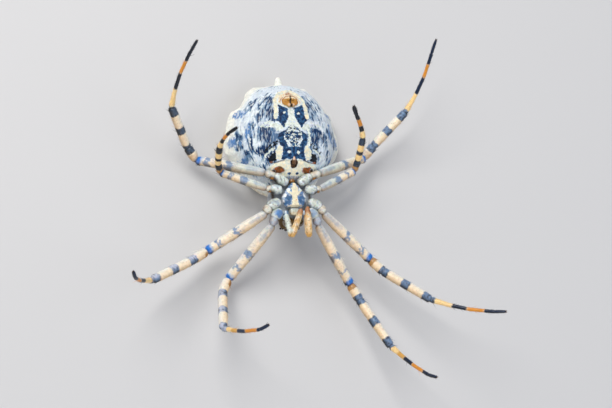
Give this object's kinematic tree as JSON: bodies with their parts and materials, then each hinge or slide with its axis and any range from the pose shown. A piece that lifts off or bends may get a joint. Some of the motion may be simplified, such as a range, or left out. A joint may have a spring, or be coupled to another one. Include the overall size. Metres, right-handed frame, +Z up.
{
  "type": "orb weaver spider",
  "caption": "Life-size still model of a lobed orb weaver spider, belly up with its legs spread and its scalloped round abdomen resting flat.",
  "frame": {"origin": "centre of the bounding box in plan, on the floor that the abdomen's back rests on", "axes": "+Z up, toward the belly side of the upturned spider; -Y toward the head; +Y toward the spinnerets; +X toward the animal's own right side"},
  "size_m": [0.0594, 0.055, 0.021],
  "materials": {
    "abdomen_skin": "satin, silver-white skin with navy and cream markings",
    "carapace_shell": "satin, clothed in silvery hair",
    "sternum_plate": "satin gloss, cream with slate sides",
    "mouth_plates": "satin gloss",
    "jaw_shell": "polished dark brown",
    "palp_skin": "satin, orange-cream with fine bristles",
    "eye_lens": "polished black",
    "coxa_shell": "satin gloss, translucent white",
    "leg_shell": "satin, cream banded in slate blue",
    "foot_shell": "satin, banded yellow, black and orange",
    "epigyne_shell": "satin gloss",
    "spinneret_skin": "satin, orange-brown"
  },
  "bodies": {
    "root": {"abdomen": "abdomen_skin", "carapace": "carapace_shell", "chelicera_left": "jaw_shell", "chelicera_right": "jaw_shell", "endite_left": "mouth_plates", "endite_right": "mouth_plates", "epigyne": "epigyne_shell", "eye_left_front_lateral": "eye_lens", "eye_left_front_median": "eye_lens", "eye_left_rear_lateral": "eye_lens", "eye_left_rear_median": "eye_lens", "eye_right_front_lateral": "eye_lens", "eye_right_front_median": "eye_lens", "eye_right_rear_lateral": "eye_lens", "eye_right_rear_median": "eye_lens", "labium": "mouth_plates", "leg_left_1_coxa": "coxa_shell", "leg_left_1_femur": "leg_shell", "leg_left_1_foot": "foot_shell", "leg_left_1_tibia": "leg_shell", "leg_left_2_coxa": "coxa_shell", "leg_left_2_femur": "leg_shell", "leg_left_2_foot": "foot_shell", "leg_left_2_tibia": "leg_shell", "leg_left_3_coxa": "coxa_shell", "leg_left_3_femur": "leg_shell", "leg_left_3_foot": "foot_shell", "leg_left_3_tibia": "leg_shell", "leg_left_4_coxa": "coxa_shell", "leg_left_4_femur": "leg_shell", "leg_left_4_foot": "foot_shell", "leg_left_4_tibia": "leg_shell", "leg_right_1_coxa": "coxa_shell", "leg_right_1_femur": "leg_shell", "leg_right_1_foot": "foot_shell", "leg_right_1_tibia": "leg_shell", "leg_right_2_coxa": "coxa_shell", "leg_right_2_femur": "leg_shell", "leg_right_2_foot": "foot_shell", "leg_right_2_tibia": "leg_shell", "leg_right_3_coxa": "coxa_shell", "leg_right_3_femur": "leg_shell", "leg_right_3_foot": "foot_shell", "leg_right_3_tibia": "leg_shell", "leg_right_4_coxa": "coxa_shell", "leg_right_4_femur": "leg_shell", "leg_right_4_foot": "foot_shell", "leg_right_4_tibia": "leg_shell", "palp_left": "palp_skin", "palp_right": "palp_skin", "pedicel": "coxa_shell", "spinnerets": "spinneret_skin", "sternum": "sternum_plate"}
  },
  "joints": []
}
